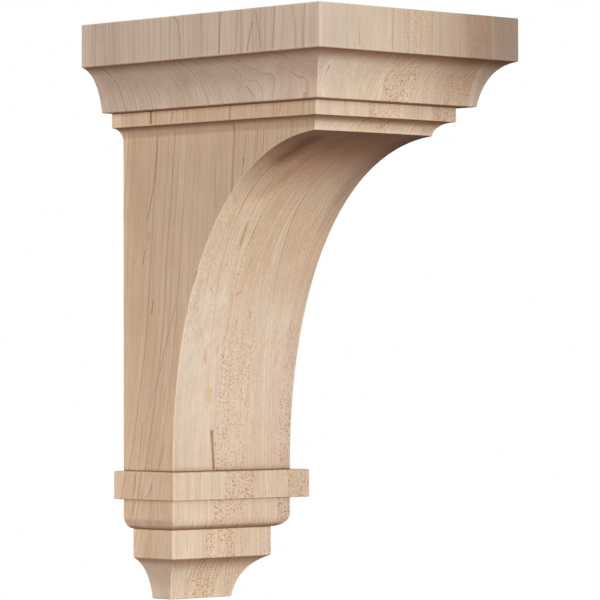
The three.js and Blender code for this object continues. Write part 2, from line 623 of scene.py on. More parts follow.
@dataclass(frozen=True)
class CarvingTree:
    """The geometry nodes that carry the outline round the left side, the front and the right side.

    Lengths are in millimetres. The input mesh is a line of stations: X is half the width there, Y the
    depth and Z the height.
    """

    corner_radius: float = 0.5
    corner_steps: int = 4
    side_cuts: int = 30
    front_cuts: int = 26
    guard: float = 0.6
    hand_wobble: float = 0.22
    wobble_size: float = 70.0
    wall_taper: float = 25.0
    seed: float = 4.0
    sharp_turn: float = math.radians(30)
    level_arris: float = 0.35

    def build(self) -> bpy.types.NodeTree:
        """Build the tree.

        Returns:
            The tree, whose inputs are its sizes, its seed and the finish.
        """
        inputs = {
            "Outline": ("Geometry",),
            "Corner Radius": ("Float", self.corner_radius * MM),
            "Corner Steps": ("Int", self.corner_steps),
            "Side Cuts": ("Int", self.side_cuts),
            "Front Cuts": ("Int", self.front_cuts),
            "Guard": ("Float", self.guard * MM),
            "Hand Wobble": ("Float", self.hand_wobble * MM),
            "Wobble Size": ("Float", self.wobble_size * MM),
            "Seed": ("Float", self.seed),
            "Finish": ("Material",),
        }
        outputs = {"Carving": "Geometry"}
        bench, given = Bench.start("Carving round the block", "GeometryNodeTree", inputs, outputs)
        closed = self.close_back(bench, self.wrap(bench, given))
        smooth = self.shade(bench, closed)
        real = bench.add("GeometryNodeRealizeInstances", {"Geometry": smooth})
        dressed = bench.add("GeometryNodeSetMaterial", {"Geometry": real, "Material": given["Finish"]})
        return bench.finish({"Carving": dressed})

    def wrap(self, bench: Bench, given: dict[str, Wire]) -> Wire:
        """Wrap a grid round the block: one row for each station, and one column for each step round it.

        Args:
            bench: The tree.
            given: The tree's inputs.

        Returns:
            The grid with its edges marked, open at the back.
        """
        sides, turns, fronts = (given[name] for name in ("Side Cuts", "Corner Steps", "Front Cuts"))
        around = sides * 2.0 + turns * 2.0 + fronts + 1.0
        count = bench.add("GeometryNodeAttributeDomainSize", {"Geometry": given["Outline"]})
        inputs = {"Vertices X": count.out("Point Count"), "Vertices Y": around}
        grid = bench.add("GeometryNodeMeshGrid", inputs)
        index = bench.add("GeometryNodeInputIndex")
        row = ((index + 0.5) / around).floor()
        side = index - row * around
        first_corner = side - sides
        front = first_corner - turns
        second_corner = front - fronts
        lap = Lap(side, first_corner, front, second_corner, second_corner - turns)
        place = self.place(bench, given, row, lap)
        wobble = self.wobble(bench, given, place)
        inputs = {"Geometry": grid, "Position": place, "Offset": wobble}
        wrapped = bench.add("GeometryNodeSetPosition", inputs)
        return self.mark_edges(bench, given, wrapped, row, lap)

    def place(self, bench: Bench, given: dict[str, Wire], row: Wire, lap: Lap) -> Wire:
        """Place the grid's points round the block, with rounded upright corners.

        Args:
            bench: The tree.
            given: The tree's inputs.
            row: Which station a point belongs to.
            lap: How far round the block it is.

        Returns:
            The points' places.
        """
        sides, turns, guard = (given[name] for name in ("Side Cuts", "Corner Steps", "Guard"))
        position = bench.add("GeometryNodeInputPosition")
        station = bench.split(self.read(bench, given["Outline"], position, "FLOAT_VECTOR", row))
        half_width = station.out("X")
        depth = station.out("Y")
        radius = given["Corner Radius"].maths("MINIMUM", half_width).maths("MINIMUM", depth)

        near_share = self.run(lap.side, sides, depth - radius, guard)
        front_share = self.run(lap.front, given["Front Cuts"], (half_width - radius) * 2.0, guard)
        far_share = self.run(lap.far_side, sides, depth - radius, guard)
        near_turn = lap.first_corner.clamp(0.0, turns) / turns * RIGHT_ANGLE
        far_turn = lap.second_corner.clamp(0.0, turns) / turns * RIGHT_ANGLE

        x = (half_width - radius) * 2.0 * front_share - half_width
        x = x + radius * (1.0 - near_turn.maths("COSINE")) + radius * far_turn.maths("SINE")
        y = (depth - radius) * (far_share - near_share)
        y = y + radius * (1.0 - far_turn.maths("COSINE")) - radius * near_turn.maths("SINE")
        return bench.join(x, y, station.out("Z"))

    def run(self, step: Wire, cuts: Wire, length: Wire, guard: Wire) -> Wire:
        """Share out a straight run, with its first and its last step as short as the guard.

        Args:
            step: How many steps along the run a point is, which may be fewer than none or more than all.
            cuts: The number of steps in the run.
            length: The run's length.
            guard: The length of the first and the last step.

        Returns:
            The share of the run, from 0 to 1.
        """
        short = (guard / length).clamp(0.0, 0.2)
        first = step.clamp(0.0, 1.0) * short
        last = (step - (cuts - 1.0)).clamp(0.0, 1.0) * short
        middle = (step - 1.0).clamp(0.0, cuts - 2.0) / (cuts - 2.0)
        return first + middle * (1.0 - 2.0 * short) + last

    def wobble(self, bench: Bench, given: dict[str, Wire], place: Wire) -> Wire:
        """Work out how the hand's unevenness moves a point, fading out at the wall.

        Args:
            bench: The tree.
            given: The tree's inputs.
            place: The point's place.

        Returns:
            The way it moves.
        """
        scale = given["Wobble Size"].maths("POWER", -1.0)
        inputs = {"Vector": place, "W": given["Seed"], "Scale": scale, "Detail": 1.0}
        noise = bench.add("ShaderNodeTexNoise", inputs, noise_dimensions="4D").out("Color")
        taper = (bench.split(place).out("Y") * -1.0 / (self.wall_taper * MM)).clamp(0.0, 1.0)
        amount = given["Hand Wobble"] * taper * 2.0
        return noise.vector_maths("SUBTRACT", (0.5, 0.5, 0.5)).vector_maths("SCALE", amount)

    def mark_edges(self, bench: Bench, given: dict[str, Wire], grid: Wire, row: Wire, lap: Lap) -> Wire:
        """Mark the grid's inner corners and its outer edges, the level ones less than the upright ones, for
        the finish's painted shade in the corners and painted highlight along the edges.

        Args:
            bench: The tree.
            given: The tree's inputs.
            grid: The wrapped grid.
            row: Which station a point belongs to.
            lap: How far round the block it is.

        Returns:
            The grid with its marks.
        """
        turns, fronts = given["Corner Steps"], given["Front Cuts"]
        nook, arris, side_arris = (
            self.read(bench, given["Outline"], self.named(bench, name), "FLOAT", row)
            for name in ("nook", "arris", "side_arris")
        )
        in_front = lap.front.maths("COMPARE", fronts * 0.5, fronts * 0.5 + turns + 0.1)
        level = bench.blend("FLOAT", in_front, side_arris, arris) * self.level_arris
        half = turns * 0.5
        upright = lap.first_corner.maths("COMPARE", half, half + 0.1)
        upright = upright.maths("MAXIMUM", lap.second_corner.maths("COMPARE", half, half + 0.1))
        marked = self.store(bench, grid, "nook", nook)
        return self.store(bench, marked, "arris", level.maths("MAXIMUM", upright))

    def read(self, bench: Bench, source: Wire, value: Wire, kind: str, index: Wire) -> Wire:
        """Read a value from the source's point of an index."""
        inputs = {"Geometry": source, "Value": value, "Index": index}
        return bench.add("GeometryNodeSampleIndex", inputs, data_type=kind)

    def named(self, bench: Bench, name: str) -> Wire:
        """Read a named attribute of numbers."""
        return bench.add("GeometryNodeInputNamedAttribute", {"Name": name}, data_type="FLOAT")

    def store(self, bench: Bench, geometry: Wire, name: str, value: Wire) -> Wire:
        """Keep a number for each point under a name."""
        inputs = {"Geometry": geometry, "Name": name, "Value": value}
        return bench.add("GeometryNodeStoreNamedAttribute", inputs, data_type="FLOAT", domain="POINT")

    def close_back(self, bench: Bench, carved: Wire) -> Wire:
        """Close the back with one flat face, laid down to be filled and stood up again.

        Args:
            bench: The tree.
            carved: The grid, open at the back.

        Returns:
            The closed shape.
        """
        merged = bench.add("GeometryNodeMergeByDistance", {"Geometry": carved, "Distance": TOUCHING})
        open_edge = bench.add("GeometryNodeInputMeshEdgeNeighbors").maths("COMPARE", 1.0, 0.1)
        rim = bench.add("GeometryNodeMeshToCurve", {"Mesh": merged, "Selection": open_edge})
        lay = (RIGHT_ANGLE, 0.0, 0.0)
        stand = (-RIGHT_ANGLE, 0.0, 0.0)
        lying = bench.add("GeometryNodeTransform", {"Geometry": rim, "Rotation": lay})
        filled = bench.add("GeometryNodeFillCurve", {"Curve": lying}, mode="NGONS")
        back = bench.add("GeometryNodeTransform", {"Geometry": filled, "Rotation": stand})
        joined = bench.add("GeometryNodeJoinGeometry", {"Geometry": merged})
        bench.tree.links.new(back.socket, joined.socket.node.inputs["Geometry"])
        return bench.add("GeometryNodeMergeByDistance", {"Geometry": joined, "Distance": TOUCHING})

    def shade(self, bench: Bench, shape: Wire) -> Wire:
        """Shade the shape smooth, and leave its sharp turns sharp.

        Args:
            bench: The tree.
            shape: The shape.

        Returns:
            The shape, shaded.
        """
        smooth = bench.add("GeometryNodeSetShadeSmooth", {"Geometry": shape, "Shade Smooth": True})
        sharp = bench.add("GeometryNodeInputMeshEdgeAngle").maths("GREATER_THAN", self.sharp_turn)
        inputs = {"Geometry": smooth, "Selection": sharp, "Shade Smooth": False}
        return bench.add("GeometryNodeSetShadeSmooth", inputs, domain="EDGE")


@dataclass
class Corbel:
    """The corbel itself: one block of maple, carved to its outline."""

    mouldings: Mouldings = Mouldings()
    carving: CarvingTree = CarvingTree()
    name: str = "corbel_carved"

    def outline(self) -> Outline:
        """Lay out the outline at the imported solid's own width, depth and height.

        Returns:
            The outline.
        """
        low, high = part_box(NODE)
        return Outline(
            self.mouldings,
            width=(high[0] - low[0]) / MM,
            depth=(high[1] - low[1]) / MM,
            top=high[2] / MM,
            bottom=low[2] / MM,
        )

    def line(self, stations: list[Station]) -> bpy.types.Object:
        """Make the line of stations that the tree carries round the block.

        Args:
            stations: The outline's stations.

        Returns:
            The piece, as a line with its marks.
        """
        mesh = bpy.data.meshes.new(self.name)
        points = [(s.half_width * MM, s.depth * MM, s.height * MM) for s in stations]
        mesh.from_pydata(points, [(i, i + 1) for i in range(len(points) - 1)], [])
        for name in ("nook", "arris", "side_arris"):
            marks = mesh.attributes.new(name, "FLOAT", "POINT")
            marks.data.foreach_set("value", [getattr(station, name) for station in stations])
        piece = bpy.data.objects.new(self.name, mesh)
        bpy.context.scene.collection.objects.link(piece)
        return piece

    def build(self, finish: bpy.types.Material) -> bpy.types.Object:
        """Carve the corbel.

        Args:
            finish: The material that it wears.

        Returns:
            The finished piece.
        """
        piece = self.line(self.outline().trace())
        tree = self.carving.build()
        modifier = piece.modifiers.new("Carving", "NODES")
        modifier.node_group = tree
        modifier[tree.interface.items_tree["Finish"].identifier] = finish
        seen = bpy.context.evaluated_depsgraph_get()
        carved = bpy.data.meshes.new_from_object(piece.evaluated_get(seen), depsgraph=seen)
        piece.modifiers.clear()
        piece.data = carved
        carved.name = self.name
        return piece

    def dress(self, piece: bpy.types.Object) -> None:
        """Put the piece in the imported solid's place.

        Args:
            piece: The finished piece.
        """
        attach(piece, BODY)
        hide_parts(NODE)


# The boards and the marks of the wood


class Tone(Enum):
    """The colours of the boards, where the light falls straight on them."""

    ROSY = (0.790, 0.622, 0.490)
    ROSY_SIDE = (0.795, 0.608, 0.471)
    CHALK = (0.745, 0.620, 0.490)
    TAN = (0.742, 0.580, 0.428)
    TAN_SIDE = (0.790, 0.566, 0.384)
    CREAM = (0.742, 0.577, 0.420)
    WHEAT = (0.726, 0.548, 0.388)
    HONEY = (0.711, 0.541, 0.387)
    BISCUIT = (0.655, 0.486, 0.346)
    OAT = (0.715, 0.590, 0.455)
    UMBER = (0.600, 0.500, 0.390)


class Stain(Enum):
    """What a mark in the wood does to the colour round it."""

    GUM = (0.47, 0.26, 0.12)
    VEIN = (0.78, 0.50, 0.37)
    RUST = (0.97, 0.83, 0.68)
    OLIVE = (0.89, 0.85, 0.62)
    AMBER = (1.06, 0.99, 0.91)
    BARK = (0.58, 0.41, 0.31)
    BLEACH = (1.05, 1.09, 1.17)


class Faces(Enum):
    """Which faces of the block a zone covers."""

    ALL = "all"
    SIDES = "the sides"
    FRONT = "all but the sides"
    UNDER = "what looks down"
    SIDE_COVES = "what looks down at the sides"


@dataclass(frozen=True)
class Board:
    """One of the upright boards that the block is glued up from.

    The heart is where the middle of its tree lay, and its growth lines are circles round it. Wander is
    how far they stray, and lean is how much they slope towards the front. A face that looks sideways may
    have a tone and lines of its own, and painted light along it: the drift is how much paler it is painted
    over 100 mm towards the front.
    """

    right_edge: float
    tone: Tone
    heart: tuple[float, float]
    pitch: float
    lines: float
    wander: float
    fleck: float
    curl: float
    lean: float = 0.0
    side_tone: Tone | None = None
    side_lines: float = 0.0
    side_light_drift: float = 0.0


@dataclass(frozen=True)
class Mark:
    """A streak or a patch in the wood, along a path through the block."""

    stain: Stain
    path: tuple[tuple[float, float, float], ...]
    half_width: float
    strength: float


@dataclass(frozen=True)
class Zone:
    """A part of the block painted darker, paler or warmer than the rest, between soft limits, as painted
    light and shade.

    Each limit names an axis, where along it the zone begins and where it is full.
    """

    tint: Colour
    limits: Limits
    faces: Faces = Faces.ALL


def on_side(stain: Stain, x: float, half_width: float, strength: float, *path: tuple[float, float]) -> Mark:
    """Return a mark on a side face, along a path of depths and heights."""
    return Mark(stain, tuple((x, y, z) for y, z in path), half_width, strength)


def on_front(stain: Stain, y: float, half_width: float, strength: float, *path: tuple[float, float]) -> Mark:
    """Return a mark on a front face, along a path of places across it and heights."""
    return Mark(stain, tuple((x, y, z) for x, z in path), half_width, strength)


BOARDS = (
    Board(-66.8, Tone.ROSY, (-239, -262), 3.1, 0.55, 4.5, 0.12, 0.6, 0.0, Tone.ROSY_SIDE, 0.75, 0.06),
    Board(-63.2, Tone.CHALK, (-239, -262), 3.1, 0.2, 4.5, 0.10, 0.4),
    Board(-43.3, Tone.TAN, (-200, 150), 4.4, 0.08, 2.2, 0.16, 0.8, 0.09, Tone.TAN_SIDE, 0.85, -0.05),
    Board(-16.2, Tone.CREAM, (100, -110), 3.2, 0.34, 2.5, 0.10, 1.0),
    Board(10.8, Tone.WHEAT, (150, -85), 3.4, 0.42, 1.6, 1.0, 0.8),
    Board(40.7, Tone.HONEY, (150, -115), 2.2, 0.46, 1.2, 0.4, 0.6),
    Board(63.0, Tone.BISCUIT, (190, -60), 2.6, 0.35, 2.0, 0.9, 0.8),
    Board(67.0, Tone.OAT, (190, -60), 2.6, 0.2, 2.0, 0.3, 0.5),
    Board(90.0, Tone.UMBER, (-120, -120), 2.3, 0.55, 1.5, 0.3, 0.6),
)

# The faces that the marks lie on
CAP_SIDE = -88.9
FILLET_SIDE = -62.65
COLLAR_SIDE = -61.05
BODY_SIDE = -52.65
BAND_FRONT = -228.6
FILLET_FRONT = -197.5
COLLAR_FRONT = -59.5

MARKS = (
    # The cap's left side, from the wall to the front
    on_side(Stain.VEIN, CAP_SIDE, 0.7, 0.8, (-92, 190), (-96, 187), (-98, 179), (-98, 162)),
    on_side(Stain.VEIN, CAP_SIDE, 0.5, 0.6, (-119, 190), (-119, 163)),
    on_side(Stain.VEIN, CAP_SIDE, 0.7, 0.95, (-137, 190), (-135.5, 163)),
    on_side(Stain.VEIN, CAP_SIDE, 0.6, 0.8, (-153, 190), (-151, 163)),
    on_side(Stain.VEIN, CAP_SIDE, 0.9, 0.8, (-166.5, 182), (-161.5, 162)),
    on_side(Stain.VEIN, CAP_SIDE, 0.7, 0.7, (-170, 189), (-175.5, 163)),
    on_side(Stain.VEIN, CAP_SIDE, 0.7, 1.0, (-187, 190), (-186.5, 163)),
    on_side(Stain.VEIN, CAP_SIDE, 0.5, 0.7, (-204, 190), (-207, 164)),
    on_side(Stain.VEIN, CAP_SIDE, 0.5, 0.5, (-212, 190), (-213, 164)),
    Mark(Stain.GUM, ((-73.5, -144.5, 143.5), (-71.5, -150, 135)), 0.7, 0.5),
    # The fillet
    on_side(Stain.GUM, FILLET_SIDE, 1.2, 1.0, (-39.5, 133), (-39.5, 125)),
    on_side(Stain.VEIN, FILLET_SIDE, 0.8, 0.7, (-61, 131), (-60.5, 127)),
    on_side(Stain.VEIN, FILLET_SIDE, 0.6, 0.7, (-75, 132), (-75.5, 125)),
    on_side(Stain.VEIN, FILLET_SIDE, 0.7, 0.6, (-165, 132), (-164, 127)),
    on_front(Stain.RUST, FILLET_FRONT, 1.4, 0.7, (-37, 132), (-36.5, 119)),
    # The body's left side, from the top down
    on_side(Stain.GUM, BODY_SIDE, 0.7, 0.55, (-34, 118), (-34, 110), (-31.5, 88)),
    on_side(Stain.GUM, BODY_SIDE, 0.7, 0.6, (-31.5, 88), (-26, 67), (-24.5, 62)),
    on_side(Stain.GUM, BODY_SIDE, 0.6, 0.5, (-26.5, 54), (-26, 48.5)),
    on_side(Stain.GUM, BODY_SIDE, 0.6, 0.6, (-22, 42), (-20, 33)),
    on_side(Stain.GUM, BODY_SIDE, 0.5, 0.5, (-11, 37), (-10.5, 32)),
    on_side(Stain.VEIN, BODY_SIDE, 0.5, 0.5, (-61, 74), (-57, 30), (-53, 8.5)),
    on_side(Stain.VEIN, BODY_SIDE, 0.6, 0.5, (-91, 109), (-92.5, 68)),
    on_side(Stain.VEIN, BODY_SIDE, 0.6, 0.6, (-122, 115), (-118.5, 97), (-117, 88)),
    on_side(Stain.GUM, BODY_SIDE, 0.8, 0.6, (-119, 99), (-118.5, 96)),
    on_side(Stain.GUM, BODY_SIDE, 0.5, 0.5, (-133, 117), (-131.5, 103)),
    on_side(Stain.GUM, BODY_SIDE, 0.6, 0.6, (-138, 116), (-137, 102)),
    on_side(Stain.GUM, BODY_SIDE, 0.8, 0.7, (-73.5, 27), (-70.5, 17.5)),
    on_side(Stain.GUM, BODY_SIDE, 0.8, 0.65, (-30, 8), (-28.5, 0)),
    on_side(Stain.RUST, BODY_SIDE, 2.0, 0.45, (-26.5, 1), (-24.5, -18)),
    on_side(Stain.GUM, BODY_SIDE, 0.45, 0.55, (-53.5, 8.5), (-43, -21), (-36.5, -39)),
    on_side(Stain.GUM, BODY_SIDE, 0.4, 0.4, (-36.5, -39), (-25.5, -64)),
    on_side(Stain.VEIN, BODY_SIDE, 0.5, 0.6, (-43, -50), (-39.5, -60.5), (-34, -84)),
    on_side(Stain.GUM, BODY_SIDE, 0.6, 0.55, (-41, -86), (-35.5, -101)),
    on_side(Stain.VEIN, BODY_SIDE, 0.6, 0.8, (-19, -73), (-14.5, -101)),
    # The arch, from the top down
    Mark(Stain.BARK, ((-33.5, -136, 99.5), (-31, -145, 104), (-33, -162, 110)), 10.0, 0.85),
    Mark(Stain.BARK, ((-25.5, -107.5, 77.6), (-15, -122, 90)), 7.0, 0.25),
    Mark(Stain.RUST, ((42, -115, 85), (42.7, -105, 75)), 6.0, 0.6),
    Mark(Stain.AMBER, ((-38, -98, 67), (-24, -112, 82), (-8, -130, 95)), 12.0, 0.9),
    Mark(Stain.GUM, ((-24.8, -91.9, 58.9), (-24, -86.6, 50.9), (-22.9, -83, 45)), 0.9, 0.5),
    Mark(Stain.OLIVE, ((-22.3, -88.5, 53.9), (-24.7, -81.8, 42.9)), 3.2, 0.7),
    Mark(Stain.BLEACH, ((11.3, -93.3, 60.9), (13, -72.5, 24), (15.3, -59.6, -15)), 4.0, 0.8),
    Mark(Stain.VEIN, ((-28.9, -77, 33), (-29.2, -75.5, 30.5)), 0.7, 0.7),
    Mark(Stain.VEIN, ((-37.5, -69.5, 17), (-34.3, -68.2, 13)), 0.6, 0.7),
    Mark(Stain.VEIN, ((-10.2, -68.7, 14.5), (-13.1, -67.8, 12)), 0.8, 0.8),
    Mark(Stain.VEIN, ((3.2, -64.1, 1), (3.9, -62.9, -3)), 0.8, 0.6),
    Mark(Stain.VEIN, ((-7.4, -62.4, -4), (-7.4, -61.5, -8)), 0.7, 0.6),
    Mark(Stain.RUST, ((-37.6, -60.5, -11), (-36.4, -59.4, -16)), 1.3, 0.9),
    Mark(Stain.RUST, ((-31.1, -57.4, -24), (-29.8, -55.7, -33)), 1.5, 0.9),
    Mark(Stain.VEIN, ((-30.6, -56.8, -27), (-30.1, -56.1, -31)), 0.6, 0.6),
    Mark(Stain.VEIN, ((-20.3, -58, -22), (-21, -57, -27)), 0.6, 0.6),
    Mark(Stain.OLIVE, ((-23.9, -53, -51), (-23.2, -52.2, -57)), 3.0, 0.9),
    Mark(Stain.GUM, ((-19.3, -50.3, -78.5), (-18.9, -50.1, -82)), 1.5, 1.0),
    Mark(Stain.GUM, ((-18.9, -50.1, -82), (-17.6, -49.7, -96)), 1.3, 0.9),
    Mark(Stain.GUM, ((-17.6, -49.7, -96), (-16.9, -49.6, -102)), 1.4, 1.0),
    Mark(Stain.RUST, ((46, -49.6, -94), (46, -49.6, -100)), 5.0, 0.4),
    # The collar, the neck and the block
    on_side(Stain.GUM, COLLAR_SIDE, 0.6, 0.6, (-22, -106), (-21, -117)),
    on_side(Stain.GUM, COLLAR_SIDE, 0.5, 0.6, (-38, -112), (-36.8, -116), (-31.5, -122)),
    on_front(Stain.RUST, COLLAR_FRONT, 2.4, 0.6, (-48.5, -105), (-48.5, -121)),
    on_side(Stain.GUM, BODY_SIDE, 0.6, 0.6, (-11, -125), (-9, -135)),
    Mark(Stain.VEIN, ((-31.5, -39.6, -146), (-31.5, -39.6, -158)), 0.5, 0.5),
    # The cap's front
    on_front(Stain.GUM, BAND_FRONT, 0.6, 0.5, (-55.2, 173), (-55.2, 166)),
    on_front(Stain.VEIN, BAND_FRONT, 0.5, 0.75, (-25, 190), (-25.5, 163)),
)

PAINTED_LIGHT_ZONES = (
    # The cap, and its right half: painted shade, darker towards its top and towards the right
    Zone((0.87,) * 3, (("Z", 132, 168),)),
    Zone((0.975,) * 3, (("Z", 112, 124),)),
    Zone((0.61, 0.50, 0.45), (("X", -5, 70), ("Z", 105, 170))),
    # The sides: painted light and shade, palest along the wall
    Zone((1.14,) * 3, (("Y", -14, -1),), Faces.SIDES),
    Zone((1.044,) * 3, (("Y", -14, -1), ("Z", 20, 60)), Faces.SIDES),
    Zone((1.05,) * 3, (("Z", 0, -90),), Faces.SIDES),
    Zone((0.95,) * 3, (("Z", 35, 90), ("Z", 122, 114)), Faces.SIDES),
    Zone((1.06,) * 3, (("Z", 119, 123), ("Z", 134, 131)), Faces.SIDES),
    Zone((0.935,) * 3, (("Z", 164, 160), ("Z", 131, 135)), Faces.SIDES),
    # Painted shade on the side coves, where they look down
    Zone((0.83, 0.78, 0.775), (), Faces.SIDE_COVES),
    # The arch, from the top down: painted shade, darker and browner under its top and on its upper right,
    # and warmer in its middle; painted light, paler and bluer low on it
    Zone((0.80, 0.80, 0.84), (("Z", 94, 110), ("Z", 119, 114)), Faces.UNDER),
    Zone((0.74, 0.74, 0.78), (("X", 28, 52), ("Z", 45, 80), ("Z", 122, 114)), Faces.UNDER),
    Zone((0.94, 0.90, 0.86), (("X", -20, -10), ("Z", -5, 20), ("Z", 90, 60)), Faces.FRONT),
    Zone((1.02, 1.04, 1.08), (("Z", -110, -84), ("Z", 45, -5)), Faces.FRONT),
)

# How much ray fleck shows, and where
FLECKED: tuple[tuple[float, Limits], ...] = (
    (0.95, (("Z", 113, 120),)),
    (-0.475, (("Z", 140, 165),)),
    (0.75, (("Z", 12, -22),)),
    (0.30, (("Z", -40, -105),)),
    (2.2, (("X", -12, -19), ("Z", 88, 60), ("Z", -35, 5))),
)

# Where the growth lines of the cap's deep cove run wild
WILD: Limits = (("X", -62, -70), ("Y", -115, -180), ("Z", 166, 152))


def within(spot: Wire, limits: Limits, share: "Wire | float" = 1.0) -> "Wire | float":
    """Narrow a share down to a part of the block.

    Args:
        spot: The point's X, Y and Z.
        limits: The soft limits of the part.
        share: The share inside them.

    Returns:
        The share, which fades out past each limit.
    """
    for axis, start, full in limits:
        share = spot.out(axis).smooth(start, full) * share
    return share


# The finish


@dataclass(frozen=True)
class WoodGroups:
    """The node groups that a wood is put together from. Their lengths are in millimetres."""

    ray_radius: float = 170.0
    bend_level: float = 20.0
    bend: float = 0.0075

    def lay_up(self, boards: tuple[Board, ...]) -> bpy.types.NodeTree:
        """Build the group that tells which board a point across the block lies in.

        Args:
            boards: The boards from left to right.

        Returns:
            The group, whose outputs are the board's own figures.
        """
        kinds = {"Tone": "Color", "Side Tone": "Color", "Heart": "Vector", "Figure": "Vector",
                 "Habit": "Vector", "Side Figure": "Vector"}
        bench, given = Bench.start("Lay up of boards", "ShaderNodeTree", {"Across": ("Float",)}, kinds)
        results = self.figures(boards[0], 0)
        for number, (before, board) in enumerate(zip(boards, boards[1:]), 1):
            past = given["Across"].maths("GREATER_THAN", before.right_edge)
            blends = ["RGBA" if kind == "Color" else "VECTOR" for kind in kinds.values()]
            pairs = zip(blends, results, self.figures(board, number))
            results = [bench.blend(blend, past, old, new) for blend, old, new in pairs]
        return bench.finish(dict(zip(kinds, results)))

    def figures(self, board: Board, number: int) -> list[tuple[float, ...]]:
        """List what the lay up tells of a board.

        Args:
            board: The board.
            number: Its place from the left.

        Returns:
            Its tones, its heart and pitch, its figure, its habit and its sides' figure, which holds their
            lines and their painted light drift.
        """
        side_tone = board.side_tone or board.tone
        side_lines = board.side_lines if board.side_tone else board.lines
        return [
            (*board.tone.value, 1.0),
            (*side_tone.value, 1.0),
            (*board.heart, board.pitch),
            (board.lines, board.wander, board.fleck),
            (board.curl, board.lean, float(number)),
            (side_lines, board.side_light_drift, 0.0),
        ]

    def growth(self) -> bpy.types.NodeTree:
        """Build the group of the growth lines, which are rings round a board's heart.

        Returns:
            The group, whose inputs are the place, the board's heart and how its lines run.
        """
        inputs = {"Place": ("Vector",), "Heart": ("Vector",), "Wander": ("Float", 1.0),
                  "Lean": ("Float", 0.0), "Seed": ("Float", 0.0)}
        outputs = {"Line": "Float", "Ring Tone": "Float", "Radius": "Float", "Round": "Float"}
        bench, given = Bench.start("Growth rings", "ShaderNodeTree", inputs, outputs)
        place, seed = given["Place"], given["Seed"]
        spot = bench.split(place)
        heart = bench.split(given["Heart"])
        pitch = heart.out("Z")

        low = (spot.out("Z") - self.bend_level).maths("MINIMUM", 0.0)
        slope = given["Lean"] * (spot.out("Z") - low * low * self.bend)
        aside = spot.out("X") - heart.out("X")
        along = spot.out("Y") + slope - heart.out("Y")
        straying = bench.noise(place, (0.100, 0.022, 0.009), seed, detail=1.0) * 2.0
        straying = straying + bench.noise(place, (0.09, 0.09, 0.022), seed + 5.0, detail=1.0) * 0.45
        radius = (aside * aside + along * along).maths("SQRT") + straying * given["Wander"]

        inputs = {"W": radius * 0.17 + seed * 9.0, "Scale": 1.0, "Detail": 1.0}
        uneven = bench.add("ShaderNodeTexNoise", inputs, noise_dimensions="1D") - 0.5
        phase = (radius + uneven * pitch * 1.4) / pitch
        ring = phase.floor()
        share = phase - ring
        luck = bench.add("ShaderNodeTexWhiteNoise", {"W": ring + seed * 31.0}, noise_dimensions="1D")
        line = share.smooth(0.70, 0.94) * share.smooth(1.0, 0.96) * (luck * luck * 0.8 + 0.2)
        turn = along.maths("ARCTAN2", aside) * self.ray_radius
        return bench.finish({"Line": line, "Ring Tone": luck - 0.5, "Radius": radius, "Round": turn})

    def rays(self) -> bpy.types.NodeTree:
        """Build the group of the ray flecks: thin spindles that point away from the heart.

        Returns:
            The group, whose inputs are the place round the heart and a seed.
        """
        inputs = {name: ("Float",) for name in ("Radius", "Round", "Height", "Seed")}
        bench, given = Bench.start("Ray fleck", "ShaderNodeTree", inputs, {"Fleck": "Float"})
        place = bench.join(given["Radius"], given["Round"], given["Height"])
        flecks = bench.noise(place, (0.85, 1.3, 0.68), given["Seed"], detail=1.0)
        cloud = bench.noise(place, (0.07, 0.07, 0.035), given["Seed"] + 3.0)
        return bench.finish({"Fleck": (flecks + cloud * 0.12).smooth(0.03, 0.14)})

    def fibre(self) -> bpy.types.NodeTree:
        """Build the group of the fine fibres, the pores, the bands and the curl, which all run upwards.

        Returns:
            The group, whose inputs are the place and a seed.
        """
        inputs = {"Place": ("Vector",), "Seed": ("Float",)}
        outputs = {"Fibre": "Float", "Pore": "Float", "Curl": "Float", "Band": "Float"}
        bench, given = Bench.start("Fibres and pores", "ShaderNodeTree", inputs, outputs)
        place, seed = given["Place"], given["Seed"]
        fibre = bench.noise(place, (0.70, 0.70, 0.026), seed, detail=4.0, roughness=0.64)
        bands = bench.noise(place, (0.14, 0.07, 0.003), seed + 6.0, detail=1.0)
        pores = bench.noise(place, (1.25, 1.25, 0.30), seed + 2.0, detail=1.0)
        curl = bench.noise(place, (0.035, 0.035, 0.055), seed + 4.0, detail=2.0)
        return bench.finish({"Fibre": fibre, "Pore": pores.smooth(0.10, 0.24), "Curl": curl, "Band": bands})

    def mark(self) -> bpy.types.NodeTree:
        """Build the group of one stretch of a mark, which fades out from its middle and its ends.

        Returns:
            The group, whose inputs are the place, the way the face looks and the stretch.
        """
        inputs = {name: ("Vector",) for name in ("Place", "Facing", "From", "To")}
        inputs["Half Width"] = ("Float", 1.0)
        bench, given = Bench.start("Mark in the wood", "ShaderNodeTree", inputs, {"Mask": "Float"})
        facing = given["Facing"]
        reach = given["Place"].vector_maths("SUBTRACT", given["From"])
        lift = reach.vector_maths("DOT_PRODUCT", facing, output=1)
        reach = reach.vector_maths("SUBTRACT", facing.vector_maths("SCALE", lift))
        path = given["To"].vector_maths("SUBTRACT", given["From"])
        dot = reach.vector_maths("DOT_PRODUCT", path, output=1)
        share = (dot / path.vector_maths("DOT_PRODUCT", path, output=1)).clamp(0.0, 1.0)
        nearest = path.vector_maths("SCALE", share)
        away = reach.vector_maths("SUBTRACT", nearest).vector_maths("LENGTH", output=1) / given["Half Width"]
        mask = (1.0 - away * 0.72).clamp(0.0, 1.0).smooth(0.0, 1.0) * lift.size().smooth(7.0, 4.0)
        return bench.finish({"Mask": mask})


@dataclass(frozen=True)
class Reading:
    """What the maple reads at a point of the surface."""

    place: Wire
    spot: Wire
    normal: Wire
    sideways: Wire
    faces: dict[Faces, "Wire | float"]
    board: Wire
    side: Wire
    growth: Wire
    lines: Wire
    fleck: Wire
    fibre: Wire
    curl: Wire
    end: Wire
    nook: Wire
    arris: Wire


